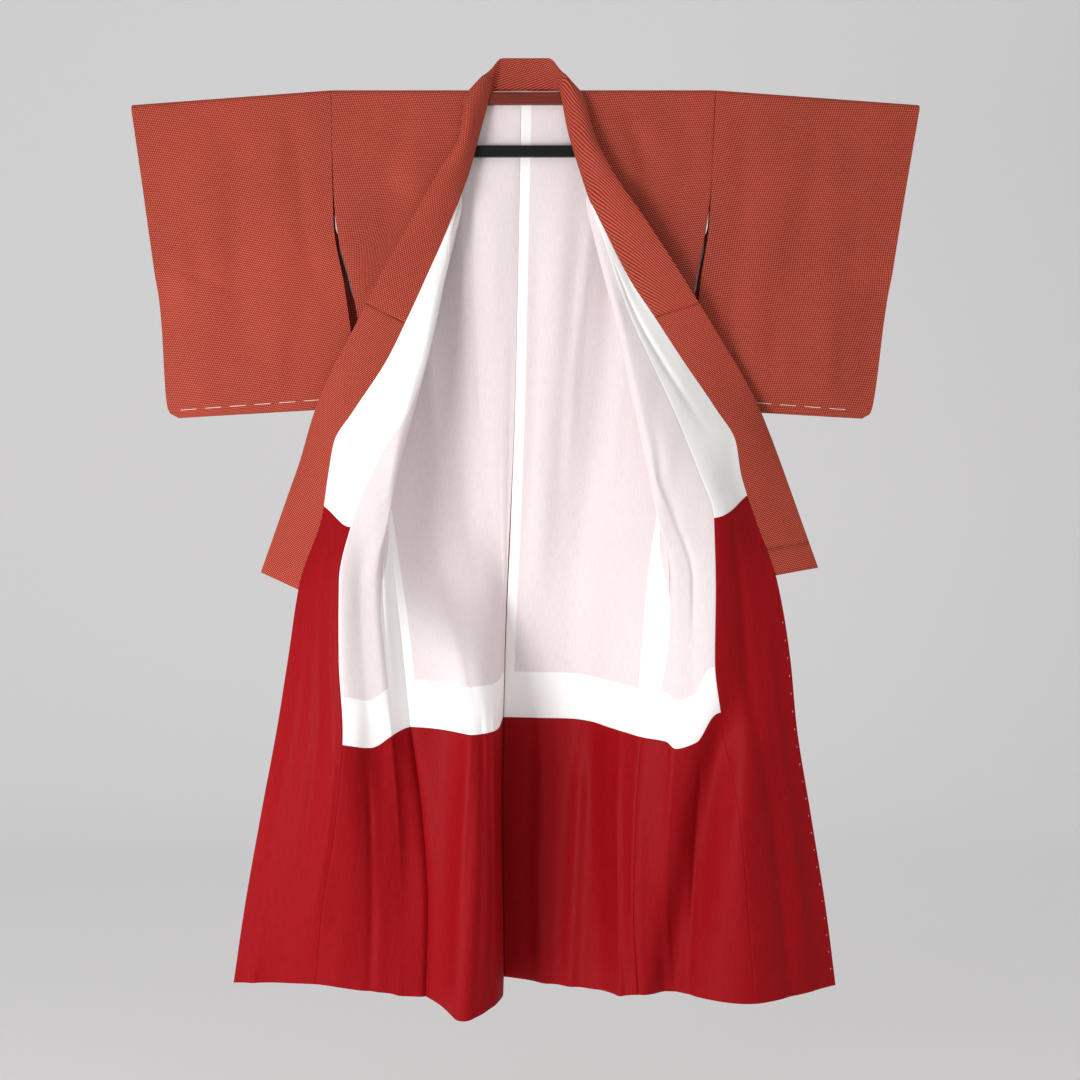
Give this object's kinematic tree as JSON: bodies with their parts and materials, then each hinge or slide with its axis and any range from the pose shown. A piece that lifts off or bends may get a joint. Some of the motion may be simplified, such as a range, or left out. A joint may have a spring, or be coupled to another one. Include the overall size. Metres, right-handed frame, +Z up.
{
  "type": "lined kimono on a two-bar kimono hanger",
  "caption": "Lined kimono hung open on a two-bar hanger, its fronts and collar turned out so that the pale upper lining and the red lower lining show.",
  "frame": {"origin": "centre of the shoulder bar's section, halfway along it, where the hanger is held", "axes": "+Z up, -Y towards the viewer on the open front side, +X to the viewer's right along the bar"},
  "size_m": [1.2742, 0.1985, 1.5271],
  "materials": {
    "patterned_silk": "soft satin with a small dotted figure",
    "pale_lining": "plain weave, faintly pink",
    "white_lining": "plain weave",
    "red_lining": "plain satin",
    "brown_bar": "stained and varnished",
    "black_bar": "matt"
  },
  "bodies": {
    "root": {"back_left": "patterned_silk", "back_right": "patterned_silk", "front_left": "patterned_silk", "front_right": "patterned_silk", "okumi_left": "patterned_silk", "okumi_right": "patterned_silk", "sleeve_left": "patterned_silk", "sleeve_right": "patterned_silk", "collar_neck": "patterned_silk", "collar_left": "patterned_silk", "collar_right": "patterned_silk", "lining_back_left": "pale_lining", "lining_back_right": "pale_lining", "lining_front_left": "pale_lining", "lining_front_right": "pale_lining", "lining_okumi_left": "white_lining", "lining_okumi_right": "white_lining", "hem_back_left": "red_lining", "hem_back_right": "red_lining", "hem_front_left": "red_lining", "hem_front_right": "red_lining", "hem_okumi_left": "red_lining", "hem_okumi_right": "red_lining", "shoulder_bar": "brown_bar", "arm_left": "brown_bar", "arm_right": "brown_bar", "lower_bar": "black_bar", "strut_left": "black_bar", "strut_right": "black_bar"}
  },
  "joints": []
}
